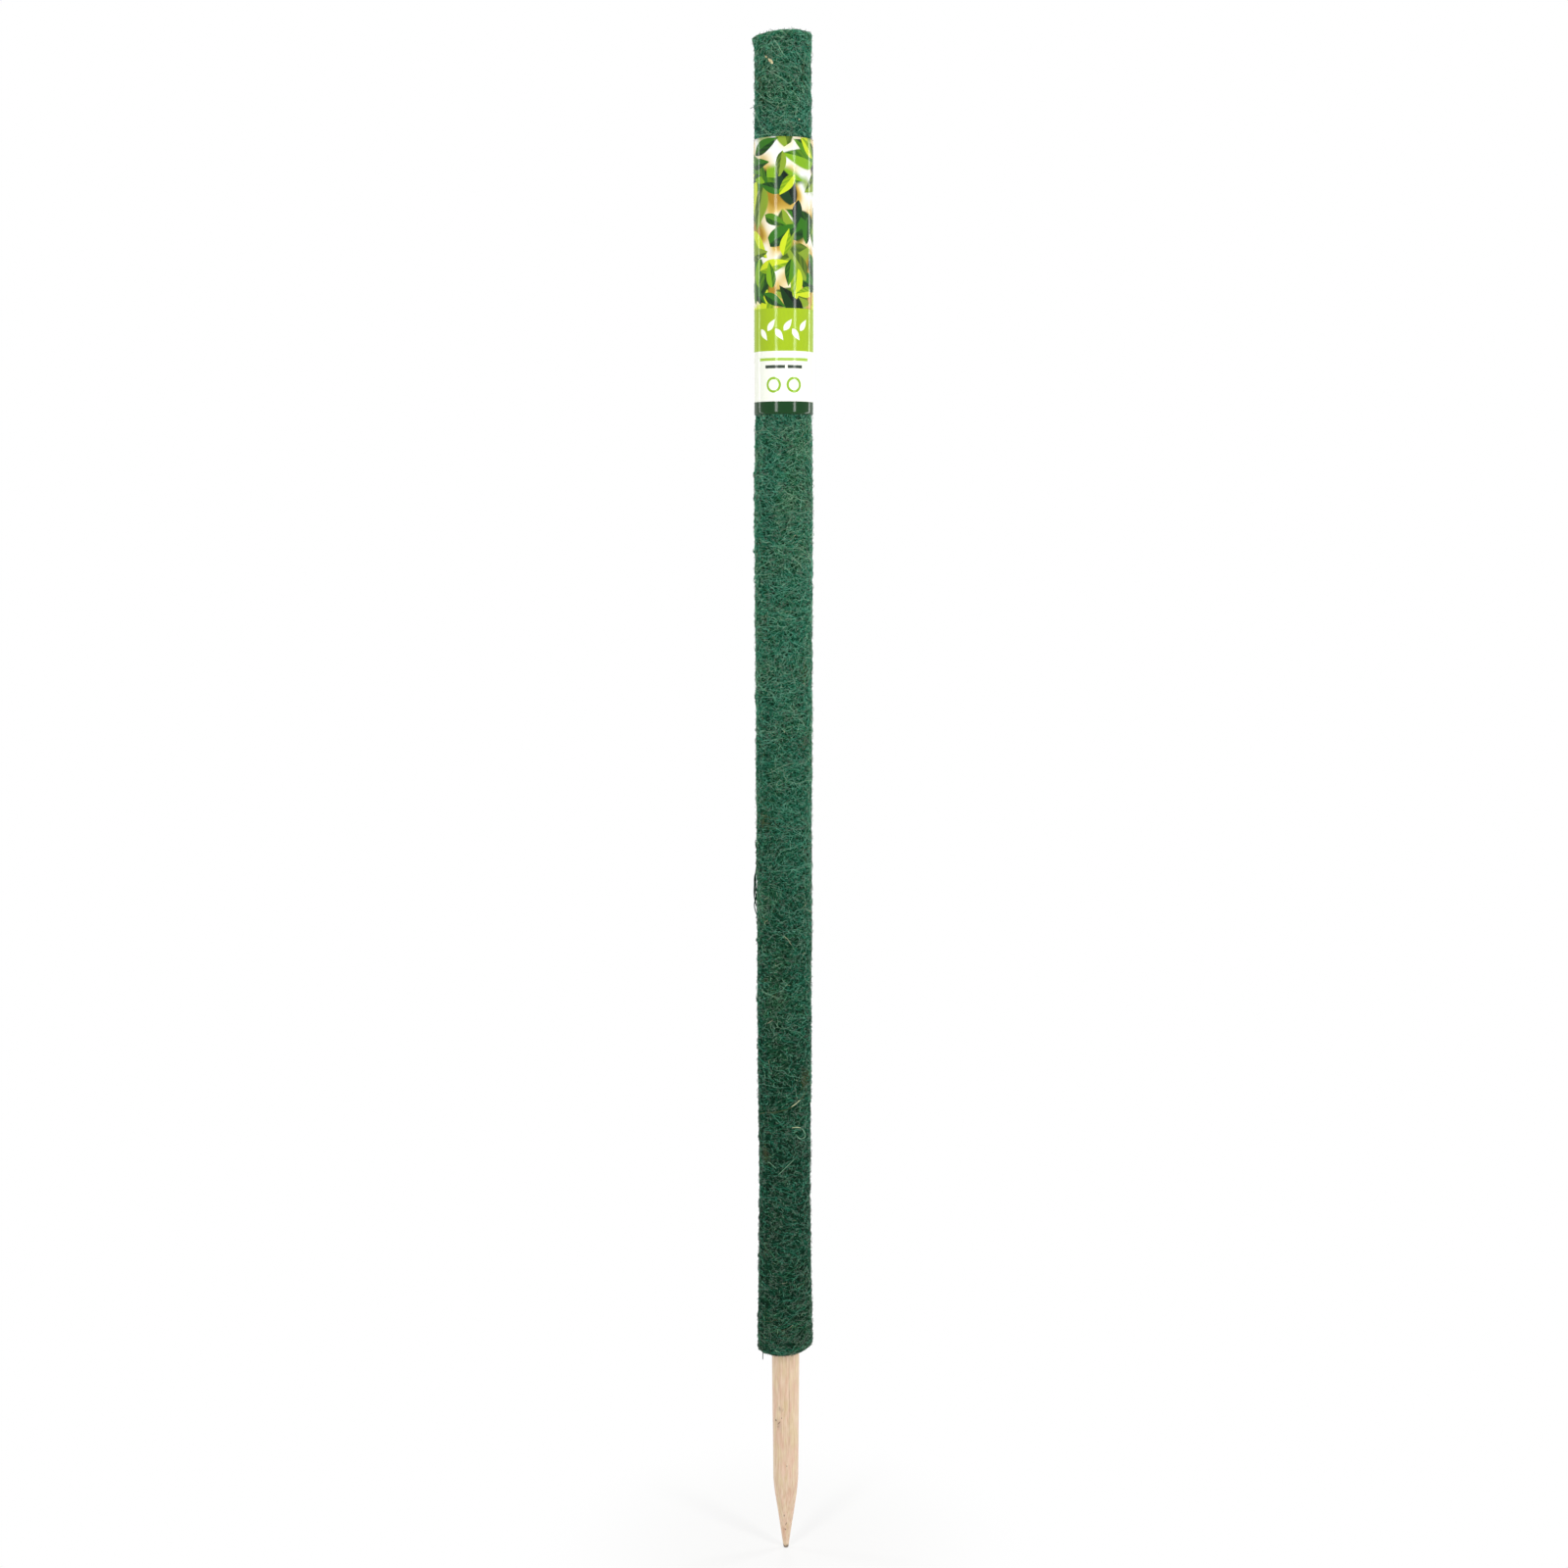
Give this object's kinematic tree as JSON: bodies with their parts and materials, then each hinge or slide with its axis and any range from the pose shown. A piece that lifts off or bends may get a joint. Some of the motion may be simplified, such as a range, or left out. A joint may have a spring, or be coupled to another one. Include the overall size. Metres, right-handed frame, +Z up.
{
  "type": "moss pole",
  "caption": "Climbing-plant pole: a green coir mat rolled round a sharpened wooden stake, with a removable printed film sleeve near its upper end.",
  "frame": {"origin": "on the stake's axis at the lower edge of the coir mat, which is the soil line when the stake is pushed in", "axes": "+Z up along the stake, away from its point; -Y the front, +X to the right of the front"},
  "size_m": [0.046, 0.0463, 1.2],
  "materials": {
    "softwood": "matte",
    "coir": "matte",
    "glue": "satin",
    "printed_film": "gloss"
  },
  "bodies": {
    "pole": {"stake": "softwood", "coir_mat": "coir", "stake_glue_line": "glue", "seam_glue_line": "glue"},
    "sleeve": {"label_sleeve": "printed_film"}
  },
  "joints": [
    {"name": "sleeve_slide", "type": "slide", "parent": "pole", "child": "sleeve", "axis": [0, 0, 1], "range_m": [0, 0.3]}
  ]
}
